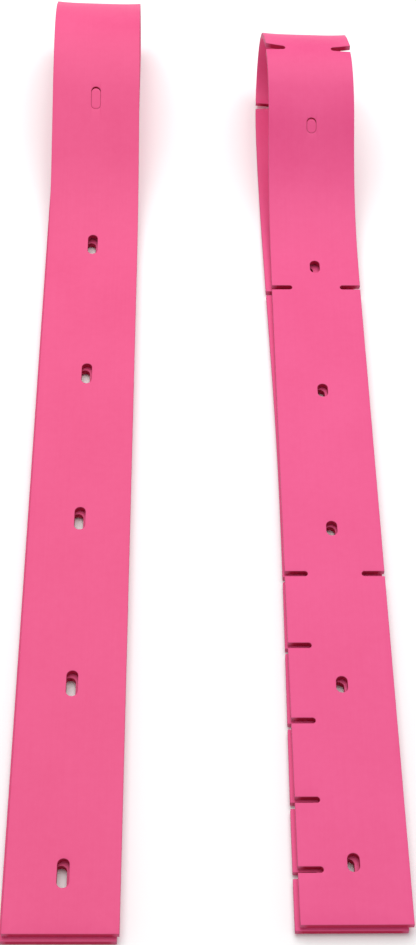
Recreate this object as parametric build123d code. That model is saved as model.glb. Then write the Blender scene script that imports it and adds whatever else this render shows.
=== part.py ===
"""A pair of gum rubber squeegee blades for a floor scrubber.

Each blade is one long flat strip.  It is folded double for storage and lies on
the floor, with both ends together at the near end and a teardrop loop at the
far end.  The rear blade has plain edges and slotted holes.  The front blade is
narrower, has shorter holes, and has slits cut in from its edges.

Millimetres.  +Z is up and z = 0 is the floor.  The blades lie along Y with
their ends towards -Y.  The origin is the centre of the pair's footprint.
"""
import os
from math import cos, pi, radians, sin

from build123d import *

# ---- driving dimensions -------------------------------------------------
THICKNESS = 3.2            # rubber sheet both blades are cut from
END_GAP = 0.4              # air between the two legs where the ends meet
HOLE_WIDTH = 5.5           # width of every mounting hole, clear of its stud

HOLES_PER_LEG = 6
BLADE_GAP = 78.7           # between the two blades at their near ends

REAR_WIDTH = 51.4
REAR_FIRST_HOLE = 28.5     # end of the strip to the first hole's centre
REAR_PITCH = 97.5          # hole to hole along the strip
REAR_FOLD_SPAN = 106.0     # last hole to the middle of the fold
REAR_HOLE_LENGTH = 14.0    # overall length of a slotted hole

FRONT_WIDTH = 50.0
FRONT_FIRST_HOLE = 29.5
FRONT_PITCH = 92.0
FRONT_FOLD_SPAN = 92.9
FRONT_HOLE_LENGTH = 9.0
FRONT_SET_BACK = 4.3       # front blade's ends lie this far behind the rear's
FRONT_TURN = 0.3           # degrees it is laid off parallel to the rear blade

SLIT_WIDTH = 3.0
SLIT_DEPTH = 11.5
SLITS_ONE_EDGE = (26.1, 60.5, 101.8, 143.4)   # from each end of the strip
SLITS_BOTH_EDGES = (185.5, 381.7)             # from each end of the strip
SLIT_FROM_FOLD = 42.1                         # from the middle, both edges

# ---- how each strip lies ------------------------------------------------
# The upper leg from its near end to the far side of the loop: pairs of
# (share of half the strip's length, degrees turned; up is positive).
REAR_STRETCHES = (
    (0.6450, 0.0),         # lies level on the lower leg
    (0.0554, 9.5),         # lifts away
    (0.0756, 16.6),
    (0.0619, 0.2),         # climbs straight
    (0.0550, -17.7),       # eases over
    (0.0837, -44.7),       # crest of the loop
)
FRONT_STRETCHES = (
    (0.6375, 0.0),
    (0.0531, 3.0),
    (0.0531, 12.6),
    (0.0531, 17.5),
    (0.0435, 7.7),
    (0.0386, -12.2),
    (0.0881, -62.3),
)
SECTION_TURN = 7.0         # most degrees between neighbouring sections
SECTION_STEP = 45.0        # most millimetres between neighbouring sections
CUT_REACH = 2.0            # how far a cutter passes a face of the strip
CUT_SIDE = 6.0             # how far a slit cutter passes the strip's edge

# Sideways lie of each fold, in millimetres and degrees.  The centre line leaves
# the upper leg's line by "loop" at "peak", settles to "leg" and ends at "end".
# The strip's width is turned by "skew" at the crest and square again at "peak".
# "peak" is a share of the strip's whole length from its upper end.
REAR_SWING = {"loop": -1.2, "leg": -1.2, "end": -1.2, "skew": 3.9, "peak": 0.52}
FRONT_SWING = {"loop": -5.3, "leg": -0.7, "end": -2.2, "skew": 2.7, "peak": 0.56}
SWING_START = 0.425        # the sideways shift begins at the crest
SWING_SETTLED = 0.800      # it has died away along the lower leg
SKEW_START = 0.350
SKEW_PEAK = 0.460


def ease(value):
    """Smooth step from 0 to 1."""
    value = min(max(value, 0.0), 1.0)
    return value * value * (3.0 - 2.0 * value)


class FoldedStrip:
    """Centre line of a strip folded double, by distance from its upper end."""

    def __init__(self, length, stretches, swing):
        self.length = length
        self.swing = swing
        half = length / 2.0
        self.pieces = []
        along, y, z, heading = 0.0, 0.0, 1.5 * THICKNESS + END_GAP, 0.0
        for share, turn in stretches:
            along, y, z, heading = self.add(along, y, z, heading, share * half, radians(turn))
        # far side of the loop: one arc that lands flat on the floor
        radius = (z - 0.5 * THICKNESS) / (1.0 + cos(heading))
        turn = -(pi + heading)
        along, y, z, heading = self.add(along, y, z, heading, -radius * turn, turn)
        self.landing = along
        # lower leg, flat on the floor to the strip's other end
        self.add(along, y, z, heading, length - along, 0.0)

    def add(self, along, y, z, heading, reach, turn):
        """Record one stretch and return where it ends."""
        self.pieces.append((along, reach, y, z, heading, turn))
        end_y, end_z = self.step(y, z, heading, turn, reach, reach)
        return along + reach, end_y, end_z, heading + turn

    @staticmethod
    def step(y, z, heading, turn, reach, run):
        """Point a distance run along a stretch."""
        if abs(turn) < 1e-9:
            return y + run * cos(heading), z + run * sin(heading)
        radius = reach / turn
        end = heading + turn * run / reach
        return y + radius * (sin(end) - sin(heading)), z - radius * (cos(end) - cos(heading))

    def at(self, along):
        """(y, z, heading) of the centre line."""
        for begin, reach, y, z, heading, turn in self.pieces:
            if along <= begin + reach:
                break
        run = along - begin
        point = self.step(y, z, heading, turn, reach, run)
        return point[0], point[1], heading + turn * run / reach

    def shift(self, along):
        """Sideways shift of the centre line."""
        share = along / self.length
        loop, leg, end = self.swing["loop"], self.swing["leg"], self.swing["end"]
        peak = self.swing["peak"]
        rise = ease((share - SWING_START) / (peak - SWING_START))
        fall = ease((share - peak) / (SWING_SETTLED - peak))
        drift = ease((share - SWING_SETTLED) / (1.0 - SWING_SETTLED))
        return loop * rise + (leg - loop) * fall + (end - leg) * drift

    def yaw(self, along):
        """Turn of the strip's width seen from above."""
        share = along / self.length
        rise = ease((share - SKEW_START) / (SKEW_PEAK - SKEW_START))
        fall = ease((share - SKEW_PEAK) / (self.swing["peak"] - SKEW_PEAK))
        return radians(self.swing["skew"]) * (rise - fall)

    def plane(self, along):
        """Section plane: local x across the strip, local z along it."""
        y, z, heading = self.at(along)
        yaw = self.yaw(along)
        across = Vector(cos(yaw), -sin(yaw), 0)
        path = Vector(0, cos(heading), sin(heading))
        path = path - across * path.dot(across)
        return Plane(origin=(self.shift(along), y, z), x_dir=across, z_dir=path)

    def stations(self):
        """Distances of the sections from the upper end to where the strip lands."""
        marks = [0.0]
        for begin, reach, _, _, _, turn in self.pieces[:-1]:
            count = max(1, round(abs(turn) / radians(SECTION_TURN)), round(reach / SECTION_STEP))
            marks += [begin + reach * (index + 1) / count for index in range(count)]
        return marks

    def clearance(self, along):
        """Half the air between the two legs, or the usual reach if less."""
        height = self.at(min(along, self.length - along))[1]
        return min(CUT_REACH, (height - 1.5 * THICKNESS) / 2.0)


def flat_leg(strip, width):
    """The lower leg: a plan outline raised by the thickness, so its faces are flat."""
    reach = strip.length - strip.landing
    count = max(2, round(reach / SECTION_STEP))
    marks = [strip.landing + reach * index / count for index in range(count + 1)]
    sides = []
    for side in (-0.5, 0.5):
        points = []
        for along in marks:
            section = strip.plane(along)
            point = section.origin + section.x_dir * (side * width)
            points.append((point.X, point.Y))
        sides.append(points)
    left, right = sides
    edges = Spline(*left) + Line(left[-1], right[-1]) + Spline(*right) + Line(left[0], right[0])
    return extrude(make_face(edges), amount=THICKNESS)


def strip_solid(strip, width):
    """The folded strip before anything is cut in it."""
    sections = []
    for along in strip.stations():
        sections.append(strip.plane(along) * Rectangle(width, THICKNESS))
    return loft(sections) + flat_leg(strip, width)


def cutter(strip, along, outline):
    """A straight cutter through the strip, square to its face."""
    section = strip.plane(along)
    face = Plane(origin=section.origin, x_dir=section.x_dir, z_dir=section.y_dir)
    depth = 0.5 * THICKNESS + strip.clearance(along)
    return face * extrude(outline, amount=depth, both=True)


def hole_marks(first, pitch):
    """Hole centres along one leg, from its end."""
    return [first + pitch * index for index in range(HOLES_PER_LEG)]


def both_legs(marks, length):
    """The same distances measured along both legs."""
    return [*marks, *(length - mark for mark in marks)]


def slit_outline(width, side):
    """A slit open at one edge, round at its inner end."""
    inner = side * (0.5 * width - SLIT_DEPTH + 0.5 * SLIT_WIDTH)
    outer = side * (0.5 * width + CUT_SIDE)
    bar = Pos(0.5 * (inner + outer), 0) * Rectangle(abs(outer - inner), SLIT_WIDTH)
    return bar + Pos(inner, 0) * Circle(0.5 * SLIT_WIDTH)


def build_rear():
    """Rear blade: plain edges and slotted holes."""
    holes = hole_marks(REAR_FIRST_HOLE, REAR_PITCH)
    length = 2.0 * (holes[-1] + REAR_FOLD_SPAN)
    strip = FoldedStrip(length, REAR_STRETCHES, REAR_SWING)
    solid = strip_solid(strip, REAR_WIDTH)
    slot = Rot(0, 0, 90) * SlotOverall(REAR_HOLE_LENGTH, HOLE_WIDTH)
    for mark in both_legs(holes, length):
        solid = solid - cutter(strip, mark, slot)
    return solid


def build_front():
    """Front blade: shorter holes, and slits that let water through its edges."""
    holes = hole_marks(FRONT_FIRST_HOLE, FRONT_PITCH)
    length = 2.0 * (holes[-1] + FRONT_FOLD_SPAN)
    strip = FoldedStrip(length, FRONT_STRETCHES, FRONT_SWING)
    solid = strip_solid(strip, FRONT_WIDTH)
    slot = Rot(0, 0, 90) * SlotOverall(FRONT_HOLE_LENGTH, HOLE_WIDTH)
    for mark in both_legs(holes, length):
        solid = solid - cutter(strip, mark, slot)
    wide = (*SLITS_BOTH_EDGES, 0.5 * length - SLIT_FROM_FOLD)
    left = slit_outline(FRONT_WIDTH, -1)
    right = slit_outline(FRONT_WIDTH, 1)
    for mark in both_legs(SLITS_ONE_EDGE, length):
        solid = solid - cutter(strip, mark, left)
    for mark in both_legs(wide, length):
        solid = solid - cutter(strip, mark, left) - cutter(strip, mark, right)
    across = 0.5 * REAR_WIDTH + BLADE_GAP + 0.5 * FRONT_WIDTH
    return Pos(across, FRONT_SET_BACK) * Rot(0, 0, FRONT_TURN) * solid


def main():
    """Build both blades, centre them on the origin and write them out."""
    blades = {"rear_blade": build_rear(), "front_blade": build_front()}
    box = Compound(children=[Compound(children=[blade]) for blade in blades.values()]).bounding_box()
    centre = Pos(-box.center().X, -box.center().Y, -box.min.Z)
    os.makedirs("parts", exist_ok=True)
    for name, blade in blades.items():
        solid = (centre * blade).solid()
        solid.label = name
        export_step(solid, f"parts/{name}.step")
        size = solid.bounding_box().size
        print(name, "volume", round(solid.volume), "size", [round(v, 1) for v in size], solid.is_valid)


main()
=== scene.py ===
"""A pair of gum rubber squeegee blades for a floor scrubber, folded double on a studio floor."""

from math import ceil, cos, pi, radians, sin

import bmesh
import bpy
from mathutils import Matrix, Vector


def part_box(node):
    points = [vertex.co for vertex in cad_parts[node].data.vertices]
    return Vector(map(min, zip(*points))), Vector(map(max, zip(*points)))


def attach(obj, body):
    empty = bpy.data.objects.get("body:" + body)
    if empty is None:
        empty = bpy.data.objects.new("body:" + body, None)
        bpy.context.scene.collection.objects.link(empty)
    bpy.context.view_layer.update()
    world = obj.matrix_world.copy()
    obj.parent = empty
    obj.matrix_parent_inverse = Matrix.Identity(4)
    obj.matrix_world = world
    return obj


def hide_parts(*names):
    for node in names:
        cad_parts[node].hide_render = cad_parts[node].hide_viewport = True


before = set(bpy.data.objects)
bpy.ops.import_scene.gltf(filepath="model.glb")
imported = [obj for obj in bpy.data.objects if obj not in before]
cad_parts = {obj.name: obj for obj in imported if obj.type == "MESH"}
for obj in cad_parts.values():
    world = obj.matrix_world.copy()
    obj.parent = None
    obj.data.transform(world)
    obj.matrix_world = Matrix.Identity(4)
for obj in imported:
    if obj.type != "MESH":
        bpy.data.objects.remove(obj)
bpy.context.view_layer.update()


# ---- Rear blade ---------------------------------------------------------------
# The wider blade of the pair, cut from 3.2 mm gum rubber sheet.  Plain edges seal
# against the floor; twelve long slots hang it on the rear studs of the squeegee.
# It is stored folded double, its two legs touching and a teardrop loop at the fold.

SHEET = 0.0032             # thickness of the rubber
END_GAP = 0.0004           # air between the two legs
RIM = 0.0003               # radius that wear leaves on every cut edge
COLUMN = 0.0035            # widest strip the sheet is divided into lengthwise
CREASE_STEP = 0.010        # most metres between neighbouring cuts across it
CREASE_TURN = 3.0          # most degrees between neighbouring cuts across it
SAME_POINT = 1e-6          # corners closer than this are one corner
STRAIGHT = 1e-6            # a bend gentler than this, in radians per metre, is none
HOLE_WIDTH = 0.0055        # clear of the stud that goes through it
HOLES_PER_LEG = 6
ROUND = 12                 # steps round half a hole's end
SLUG_PLAY = 0.00003        # air round a slug the punch has left in its hole
SLUG_SHORT = 0.0009        # gap between the slug and the hole's far end
SLUG_SUNK = 0.0002         # how far it is pressed in below the rubber's face

REAR_WIDTH = 0.0514
REAR_FIRST_HOLE = 0.0285   # end of the strip to the first hole's middle
REAR_PITCH = 0.0975
REAR_FOLD_SPAN = 0.106     # last hole to the middle of the fold
REAR_HOLE_LENGTH = 0.014   # over the round ends

# the upper leg's lie: (share of half the strip, degrees it turns upward)
REAR_STRETCHES = (
    (0.6450, 0.0),
    (0.0554, 9.5),
    (0.0756, 16.6),
    (0.0619, 0.2),
    (0.0550, -17.7),
    (0.0837, -44.7),
)
# sideways lie of the fold: shifts in metres, skew in degrees, the peak and the
# marks below it as shares of the strip's whole length
REAR_SWING = {"loop": -0.0012, "leg": -0.0012, "end": -0.0012, "skew": 3.9, "peak": 0.52}
SWING_START = 0.425
SWING_SETTLED = 0.800
SKEW_START = 0.350
SKEW_PEAK = 0.460
EDGE_CURL = 0.0006         # how far the long edges curl outward where the loop is tightest
LONG_EDGE_CUT = 0.5        # the long edges' walls catch more light, so they get half the painted shade and half the dullness of a punched wall


def ease(value):
    """Smooth step from 0 to 1."""
    value = min(max(value, 0.0), 1.0)
    return value * value * (3.0 - 2.0 * value)


class Fold:
    """How one flat strip is bent: every flat point has its place in the folded strip."""

    def __init__(self, length, width, stretches, swing, lift):
        self.length = length
        self.width = width
        self.swing = swing
        self.lift = lift
        self.bends = []
        along, y, z, heading = 0.0, 0.0, 1.5 * SHEET + END_GAP, 0.0
        for share, turn in stretches:
            reach = 0.5 * share * length
            along, y, z, heading = self.add(along, y, z, heading, reach, radians(turn))
        # the far side of the loop is one arc that lands flat on the floor
        radius = (z - 0.5 * SHEET) / (1.0 + cos(heading))
        turn = -(pi + heading)
        along, y, z, heading = self.add(along, y, z, heading, -radius * turn, turn)
        self.sharpest = 1.0 / radius
        self.add(along, y, z, heading, length - along, 0.0)

    def add(self, along, y, z, heading, reach, turn):
        """Keep one stretch of even bend and return where it ends."""
        self.bends.append((along, reach, y, z, heading, turn))
        y, z = self.step(y, z, heading, turn / reach, reach)
        return along + reach, y, z, heading + turn

    @staticmethod
    def step(y, z, heading, bend, run):
        """Point a distance run along a stretch of even bend."""
        if abs(bend) < STRAIGHT:
            return y + run * cos(heading), z + run * sin(heading)
        end = heading + bend * run
        return y + (sin(end) - sin(heading)) / bend, z - (cos(end) - cos(heading)) / bend

    def creases(self):
        """Distances along the strip where it is cut across so that it can bend."""
        marks = []
        for begin, reach, _, _, _, turn in self.bends:
            count = ceil(max(reach / CREASE_STEP, abs(turn) / radians(CREASE_TURN)))
            marks += [begin + reach * index / count for index in range(count)]
        return marks[1:]

    def centre(self, along):
        """Side view of the centre line: y, z, heading and bend."""
        for begin, reach, y, z, heading, turn in self.bends:
            if along <= begin + reach:
                break
        run = along - begin
        bend = turn / reach
        y, z = self.step(y, z, heading, bend, run)
        return y, z, heading + bend * run, bend

    def shift(self, share):
        """Sideways shift of the centre line."""
        loop, leg, end = self.swing["loop"], self.swing["leg"], self.swing["end"]
        peak = self.swing["peak"]
        rise = ease((share - SWING_START) / (peak - SWING_START))
        fall = ease((share - peak) / (SWING_SETTLED - peak))
        drift = ease((share - SWING_SETTLED) / (1.0 - SWING_SETTLED))
        return loop * rise + (leg - loop) * fall + (end - leg) * drift

    def yaw(self, share):
        """Turn of the strip's width seen from above."""
        rise = ease((share - SKEW_START) / (SKEW_PEAK - SKEW_START))
        fall = ease((share - SKEW_PEAK) / (self.swing["peak"] - SKEW_PEAK))
        return radians(self.swing["skew"]) * (rise - fall)

    def place(self, flat):
        """Where a point of the flat strip lies: x across, y along, z out of the fold."""
        share = flat.y / self.length
        y, z, heading, bend = self.centre(flat.y)
        yaw = self.yaw(share)
        across = Vector((cos(yaw), -sin(yaw), 0.0))
        path = Vector((0.0, cos(heading), sin(heading)))
        path = (path - across * path.dot(across)).normalized()
        outward = across.cross(path)
        curl = EDGE_CURL * (-bend / self.sharpest) * (2.0 * flat.x / self.width) ** 4
        lift = flat.z + curl + self.lift(flat)
        return Vector((self.shift(share), y, z)) + across * flat.x + outward * lift


def round_ended(middle, radius, straight):
    """Outline with round ends, its long way along the strip; straight is half its straight part."""
    points = []
    for side in (1, -1):
        for index in range(ROUND + 1):
            angle = pi * index / ROUND
            points.append((side * radius * cos(angle), middle + side * (straight + radius * sin(angle))))
    return points


def hole_outline(mark, length):
    """A hole punched for a stud."""
    return round_ended(mark, 0.5 * HOLE_WIDTH, 0.5 * (length - HOLE_WIDTH))


def slug_outline(mark, length):
    """What the punch cut out of a hole and left in it."""
    middle = mark - 0.5 * SLUG_SHORT + SLUG_PLAY
    return round_ended(middle, 0.5 * HOLE_WIDTH - SLUG_PLAY, 0.5 * (length - HOLE_WIDTH - SLUG_SHORT))


def slug_dip(flat, mark, length):
    """A slug left in its hole is pressed in a little, and the hole's rounded ends go with it."""
    near = mark - 0.5 * length + 0.5 * SLUG_PLAY
    far = mark + 0.5 * length - 0.5 * SLUG_SHORT
    inside = abs(flat.x) < 0.5 * HOLE_WIDTH - 0.5 * SLUG_PLAY
    return -SLUG_SUNK if inside and near < flat.y < far else 0.0


def flat_strip(outline, holes):
    """Knife-cut flat sheet: an outline and its holes, filled and given thickness."""
    curve = bpy.data.curves.new("flat_strip", "CURVE")
    curve.dimensions = "2D"
    curve.fill_mode = "BOTH"
    curve.extrude = 0.5 * SHEET - RIM
    curve.bevel_depth = RIM
    curve.bevel_resolution = 2
    curve.offset = -RIM
    for points in (outline, *holes):
        spline = curve.splines.new("POLY")
        spline.points.add(len(points) - 1)
        for point, (x, y) in zip(spline.points, points):
            point.co = (x, y, 0.0, 1.0)
        spline.use_cyclic_u = True
    cut = bpy.data.objects.new("flat_strip", curve)
    bpy.context.scene.collection.objects.link(cut)
    bpy.context.view_layer.update()
    mesh = bpy.data.meshes.new_from_object(cut)
    bpy.data.objects.remove(cut)
    return mesh


def score(bm, marks, normal):
    """Divide the sheet along planes square to the normal so that it can bend there."""
    for mark in marks:
        everything = [*bm.verts, *bm.edges, *bm.faces]
        bmesh.ops.bisect_plane(
            bm, geom=everything, dist=SAME_POINT, plane_co=normal * mark, plane_no=normal
        )


def folded_blade(name, outline, holes, fold, material):
    """Cut one blade flat, note what is face and what is cut edge, and fold it."""
    mesh = flat_strip(outline, holes)
    bm = bmesh.new()
    bm.from_mesh(mesh)
    bmesh.ops.remove_doubles(bm, verts=bm.verts, dist=SAME_POINT)
    columns = ceil(fold.width / COLUMN)
    lengthwise = [fold.width * (index / columns - 0.5) for index in range(1, columns)]
    score(bm, lengthwise, Vector((1.0, 0.0, 0.0)))
    score(bm, fold.creases(), Vector((0.0, 1.0, 0.0)))
    bmesh.ops.dissolve_degenerate(bm, dist=SAME_POINT, edges=bm.edges)
    bmesh.ops.recalc_face_normals(bm, faces=bm.faces)
    # the flat sheet's own measure, for the grain that runs along it
    grain = bm.loops.layers.uv.new("flat")
    for face in bm.faces:
        face.smooth = True
        for loop in face.loops:
            loop[grain].uv = (loop.vert.co.x + 0.5 * fold.width, loop.vert.co.y)
    cut = bm.verts.layers.float.new("cut")
    for vert in bm.verts:
        long_edge = abs(vert.co.x) > 0.5 * fold.width - RIM - SAME_POINT
        deepest = LONG_EDGE_CUT if long_edge else 1.0
        vert[cut] = deepest * min(1.0, (0.5 * SHEET - abs(vert.co.z)) / RIM)
        vert.co = fold.place(vert.co)
    bm.to_mesh(mesh)
    bm.free()
    mesh.name = name
    mesh.materials.append(material)
    piece = bpy.data.objects.new(name, mesh)
    bpy.context.scene.collection.objects.link(piece)
    return piece


def lay_on(piece, node, turn):
    """Turn a folded blade on the floor and set it where the frame has it."""
    piece.data.transform(Matrix.Rotation(radians(turn), 4, "Z"))
    low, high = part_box(node)
    corners = [vert.co for vert in piece.data.vertices]
    middle_x = 0.5 * (min(c.x for c in corners) + max(c.x for c in corners))
    middle_y = 0.5 * (min(c.y for c in corners) + max(c.y for c in corners))
    lowest = min(c.z for c in corners)
    across = 0.5 * (low[0] + high[0]) - middle_x
    back = 0.5 * (low[1] + high[1]) - middle_y
    piece.data.transform(Matrix.Translation((across, back, low[2] - lowest)))


STREAK_SCALE = (900.0, 14.0, 1.0)           # fine across the strip, long along it
SHADED_WALL_RED = (0.490, 0.011, 0.067, 1.0)        # cut wall, darkened with painted shade for walls turned away from the light
RIM_HIGHLIGHT_MAUVE = (0.605, 0.178, 0.310, 1.0)  # rim, paled with a painted highlight where the edge catches the light


def gum_rubber(name, seed, blue):
    """Satin pink-red gum: faint mottling, calender streaks along the strip, duller cut edges, painted
    shade on the cut walls and a painted highlight on their rims.
    """
    material = bpy.data.materials.new(name)
    material.use_nodes = True
    tree = material.node_tree
    tree.nodes.clear()

    def node(kind, **settings):
        made = tree.nodes.new(kind)
        for key, value in settings.items():
            setattr(made, key, value)
        return made

    def link(source, target):
        tree.links.new(source, target)

    output = node("ShaderNodeOutputMaterial")
    rubber = node("ShaderNodeBsdfPrincipled")
    link(rubber.outputs["BSDF"], output.inputs["Surface"])
    rubber.inputs["Specular IOR Level"].default_value = 0.22

    where = node("ShaderNodeTexCoord")
    flat = node("ShaderNodeUVMap", uv_map="flat")
    along = node("ShaderNodeMapping")
    along.inputs["Location"].default_value = (0.1 * seed, 0.3 * seed, 0.0)
    along.inputs["Scale"].default_value = STREAK_SCALE
    link(flat.outputs["UV"], along.inputs["Vector"])

    # slow cloudiness of the gum, finer mottling, and the streaks of the rollers
    cloud = node("ShaderNodeTexNoise")
    cloud.inputs["Scale"].default_value = 22.0
    cloud.inputs["Detail"].default_value = 4.0
    cloud.inputs["Roughness"].default_value = 0.55
    link(where.outputs["Object"], cloud.inputs["Vector"])
    mottle = node("ShaderNodeTexNoise")
    mottle.inputs["Scale"].default_value = 260.0
    mottle.inputs["Detail"].default_value = 5.0
    mottle.inputs["Roughness"].default_value = 0.6
    link(where.outputs["Object"], mottle.inputs["Vector"])
    streak = node("ShaderNodeTexNoise")
    streak.inputs["Scale"].default_value = 1.0
    streak.inputs["Detail"].default_value = 3.0
    link(along.outputs["Vector"], streak.inputs["Vector"])

    tone = node("ShaderNodeMath", operation="MULTIPLY_ADD")
    link(mottle.outputs["Fac"], tone.inputs[0])
    tone.inputs[1].default_value = 0.35
    link(cloud.outputs["Fac"], tone.inputs[2])
    tone_streak = node("ShaderNodeMath", operation="MULTIPLY_ADD")
    link(streak.outputs["Fac"], tone_streak.inputs[0])
    tone_streak.inputs[1].default_value = 0.20
    link(tone.outputs["Value"], tone_streak.inputs[2])
    gum = node("ShaderNodeValToRGB")
    gum.color_ramp.elements[0].position = 0.45
    gum.color_ramp.elements[0].color = (0.757, 0.071, blue, 1.0)
    gum.color_ramp.elements[1].position = 1.10
    gum.color_ramp.elements[1].color = (0.801, 0.095, 1.16 * blue, 1.0)
    link(tone_streak.outputs["Value"], gum.inputs["Fac"])

    # a painted highlight pales the rims to mauve, and painted shade darkens the cut walls to a deeper
    # red
    cut = node("ShaderNodeAttribute", attribute_name="cut")
    edge = node("ShaderNodeValToRGB")
    edge.color_ramp.elements[0].position = 0.0
    edge.color_ramp.elements[0].color = (0.0, 0.0, 0.0, 1.0)
    edge.color_ramp.elements[1].position = 1.0
    edge.color_ramp.elements[1].color = (0.0, 0.0, 0.0, 1.0)
    rim_highlight = edge.color_ramp.elements.new(0.45)
    rim_highlight.color = (1.0, 1.0, 1.0, 1.0)
    link(cut.outputs["Fac"], edge.inputs["Fac"])
    rim_share = node("ShaderNodeMath", operation="MULTIPLY")
    link(edge.outputs["Color"], rim_share.inputs[0])
    link(mottle.outputs["Fac"], rim_share.inputs[1])
    wall_shade_mix = node("ShaderNodeMix", data_type="RGBA")
    link(cut.outputs["Fac"], wall_shade_mix.inputs["Factor"])
    link(gum.outputs["Color"], wall_shade_mix.inputs["A"])
    wall_shade_mix.inputs["B"].default_value = SHADED_WALL_RED
    rim_highlight_mix = node("ShaderNodeMix", data_type="RGBA")
    link(rim_share.outputs["Value"], rim_highlight_mix.inputs["Factor"])
    link(wall_shade_mix.outputs["Result"], rim_highlight_mix.inputs["A"])
    rim_highlight_mix.inputs["B"].default_value = RIM_HIGHLIGHT_MAUVE
    link(rim_highlight_mix.outputs["Result"], rubber.inputs["Base Color"])

    # satin skin, duller where it was cut
    satin = node("ShaderNodeMapRange")
    link(cloud.outputs["Fac"], satin.inputs["Value"])
    satin.inputs["From Min"].default_value = 0.3
    satin.inputs["From Max"].default_value = 0.7
    satin.inputs["To Min"].default_value = 0.46
    satin.inputs["To Max"].default_value = 0.56
    dull = node("ShaderNodeMix", data_type="FLOAT")
    link(cut.outputs["Fac"], dull.inputs["Factor"])
    link(satin.outputs["Result"], dull.inputs["A"])
    dull.inputs["B"].default_value = 0.75
    link(dull.outputs["Result"], rubber.inputs["Roughness"])

    # the skin's fine pebble and the rollers' streaks catch the light
    relief = node("ShaderNodeMath", operation="MULTIPLY_ADD")
    link(streak.outputs["Fac"], relief.inputs[0])
    relief.inputs[1].default_value = 0.5
    link(mottle.outputs["Fac"], relief.inputs[2])
    bump = node("ShaderNodeBump")
    bump.inputs["Strength"].default_value = 0.35
    bump.inputs["Distance"].default_value = 0.0002
    link(relief.outputs["Value"], bump.inputs["Height"])
    link(bump.outputs["Normal"], rubber.inputs["Normal"])
    return material


rear_holes = [REAR_FIRST_HOLE + REAR_PITCH * index for index in range(HOLES_PER_LEG)]
rear_length = 2.0 * (rear_holes[-1] + REAR_FOLD_SPAN)
rear_last = rear_holes[-1]
rear_holes += [rear_length - mark for mark in rear_holes]


def rear_lift(flat):
    """How far a point of the rear blade is moved off the even bend."""
    return slug_dip(flat, rear_last, REAR_HOLE_LENGTH)


half = 0.5 * REAR_WIDTH
rear_outline = [(-half, 0.0), (half, 0.0), (half, rear_length), (-half, rear_length)]
rear_cuts = [hole_outline(mark, REAR_HOLE_LENGTH) for mark in rear_holes]
rear_cuts.append(slug_outline(rear_last, REAR_HOLE_LENGTH))
rear_blade = folded_blade(
    "rear_blade_rubber",
    rear_outline,
    rear_cuts,
    Fold(rear_length, REAR_WIDTH, REAR_STRETCHES, REAR_SWING, rear_lift),
    gum_rubber("rear_gum", 1.0, 0.216),
)
lay_on(rear_blade, "rear_blade", 0.0)
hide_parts("rear_blade")
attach(rear_blade, "rear")


# ---- Front blade --------------------------------------------------------------
# The narrower blade, from the same sheet.  Slits knifed in from its edges let the
# water through; most are in the edge that meets the floor, a few in both, so the
# blade can be turned over.  Shorter slots hang it on the front studs.

FRONT_WIDTH = 0.050
FRONT_FIRST_HOLE = 0.0295
FRONT_PITCH = 0.092
FRONT_FOLD_SPAN = 0.0929
FRONT_HOLE_LENGTH = 0.009
FRONT_TURN = 0.3           # degrees it lies off the rear blade's line
FRONT_STRETCHES = (
    (0.6375, 0.0),
    (0.0531, 3.0),
    (0.0531, 12.6),
    (0.0531, 17.5),
    (0.0435, 7.7),
    (0.0386, -12.2),
    (0.0881, -62.3),
)
FRONT_SWING = {"loop": -0.0053, "leg": -0.0007, "end": -0.0022, "skew": 2.7, "peak": 0.56}
SLIT_WIDTH = 0.003
SLIT_DEPTH = 0.0115
SLITS_ONE_EDGE = (0.0261, 0.0605, 0.1018, 0.1434)   # from each end of the strip
SLITS_BOTH_EDGES = (0.1855, 0.3817)                 # from each end of the strip
SLIT_FROM_FOLD = 0.0421    # from the middle of the fold, in both edges
FAR_LIP = 0.0014           # how far the bend springs up the lip on the loop's side
NEAR_LIP = -0.0008         # and presses down the lip on the other side
LOWER_LIP = -0.0022        # the lower slit's lip on the loop's side is lifted off the floor
LIP_REACH = 0.011          # how far along the strip a sprung lip dies away


def slit_outline(mark, side):
    """A slit from one side of its mouth to the other, round at its inner end."""
    radius = 0.5 * SLIT_WIDTH
    mouth = side * 0.5 * FRONT_WIDTH
    inner = mouth - side * (SLIT_DEPTH - radius)
    points = [(mouth, mark - radius)]
    for index in range(ROUND + 1):
        angle = pi * (index / ROUND - 0.5)
        points.append((inner - side * radius * cos(angle), mark + radius * sin(angle)))
    points.append((mouth, mark + radius))
    return points


def front_lift(flat):
    """A point's move off the even bend: the loop springs open the slits cut across it."""
    depth = (abs(flat.x) - 0.5 * FRONT_WIDTH) / SLIT_DEPTH + 1.0
    past = SLIT_FROM_FOLD - abs(flat.y - 0.5 * front_length)
    share = 1.0 - (abs(past) - 0.5 * SLIT_WIDTH) / LIP_REACH
    if depth <= 0.0 or share <= 0.0:
        return slug_dip(flat, front_last, FRONT_HOLE_LENGTH)
    if flat.y < 0.5 * front_length:
        lip = FAR_LIP if past > 0.0 else NEAR_LIP
    else:
        lip = LOWER_LIP if past > 0.0 else 0.0
    return lip * depth * share ** 2


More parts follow.
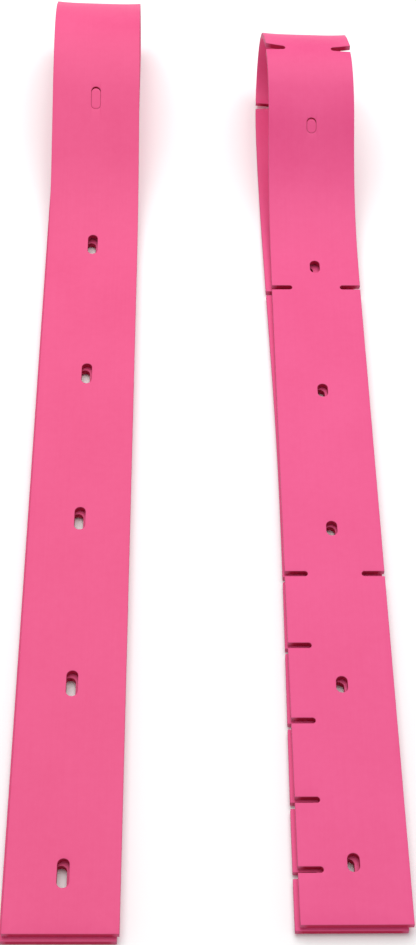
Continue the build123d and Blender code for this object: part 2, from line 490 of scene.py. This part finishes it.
front_holes = [FRONT_FIRST_HOLE + FRONT_PITCH * index for index in range(HOLES_PER_LEG)]
front_length = 2.0 * (front_holes[-1] + FRONT_FOLD_SPAN)
front_last = front_holes[-1]
front_holes += [front_length - mark for mark in front_holes]
wide_slits = [*SLITS_BOTH_EDGES, 0.5 * front_length - SLIT_FROM_FOLD]
wide_slits += [front_length - mark for mark in wide_slits]
floor_slits = [*SLITS_ONE_EDGE, *(front_length - mark for mark in SLITS_ONE_EDGE)]
half = 0.5 * FRONT_WIDTH
front_outline = [(-half, 0.0), (half, 0.0)]
for mark in sorted(wide_slits):
    front_outline += slit_outline(mark, 1)
front_outline += [(half, front_length), (-half, front_length)]
for mark in sorted(wide_slits + floor_slits, reverse=True):
    front_outline += reversed(slit_outline(mark, -1))
front_cuts = [hole_outline(mark, FRONT_HOLE_LENGTH) for mark in front_holes]
front_cuts.append(slug_outline(front_last, FRONT_HOLE_LENGTH))
front_blade = folded_blade(
    "front_blade_rubber",
    front_outline,
    front_cuts,
    Fold(front_length, FRONT_WIDTH, FRONT_STRETCHES, FRONT_SWING, front_lift),
    gum_rubber("front_gum", 2.0, 0.228),
)
lay_on(front_blade, "front_blade", FRONT_TURN)
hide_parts("front_blade")
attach(front_blade, "front")


# ---- Studio floor -------------------------------------------------------------
# Plain matt white paper that the blades lie on, wide enough for any view.

floor_mesh = bpy.data.meshes.new("floor")
bm = bmesh.new()
bmesh.ops.create_grid(bm, x_segments=1, y_segments=1, size=4.0)
bm.to_mesh(floor_mesh)
bm.free()
floor = bpy.data.objects.new("floor", floor_mesh)
bpy.context.scene.collection.objects.link(floor)
floor.location.z = -0.0001         # a hair under the blades, so that no two faces coincide
paper = bpy.data.materials.new("paper")
paper.use_nodes = True
matt = paper.node_tree.nodes["Principled BSDF"]
matt.inputs["Base Color"].default_value = (0.97, 0.97, 0.97, 1.0)
matt.inputs["Roughness"].default_value = 0.9
matt.inputs["Specular IOR Level"].default_value = 0.1
floor_mesh.materials.append(paper)


# ---- Light --------------------------------------------------------------------
# A white room, with one wide soft box overhead and a little behind the blades.

room = bpy.data.worlds.new("room")
bpy.context.scene.world = room
room.use_nodes = True
room.node_tree.nodes["Background"].inputs["Color"].default_value = (1.0, 1.0, 1.0, 1.0)
room.node_tree.nodes["Background"].inputs["Strength"].default_value = 0.56
box_light = bpy.data.lights.new("soft_box", "AREA")
box_light.shape = "RECTANGLE"
box_light.size = 1.6
box_light.size_y = 1.6
box_light.energy = 24.1
soft_box = bpy.data.objects.new("soft_box", box_light)
soft_box.location = (0.0, 0.65, 1.6)
soft_box.rotation_euler = (-soft_box.location).to_track_quat("-Z", "Y").to_euler()
bpy.context.scene.collection.objects.link(soft_box)


# ---- Camera -------------------------------------------------------------------
# Stands off the blades' near ends and looks down along them, at a little over half
# a right angle.

TILT = 52.3                # degrees below level
HEADING = -1.35            # degrees off the blades' line
ROLL = 1.31                # degrees the camera leans about its line of sight
DISTANCE = 0.9408          # from the aim, along the line of sight
aim = Vector((0.0019, -0.0438, 0.0))
camera_data = bpy.data.cameras.new("camera")
camera_data.sensor_width = 36.0
camera_data.lens = 68.19
camera = bpy.data.objects.new("camera", camera_data)
stand = Matrix.Rotation(radians(HEADING), 3, "Z") @ Matrix.Rotation(radians(90.0 - TILT), 3, "X")
camera.rotation_euler = (stand @ Matrix.Rotation(radians(ROLL), 3, "Z")).to_euler()
camera.location = aim + stand @ Vector((0.0, 0.0, DISTANCE))
bpy.context.scene.collection.objects.link(camera)
bpy.context.scene.camera = camera
bpy.context.scene.view_settings.view_transform = "Standard"
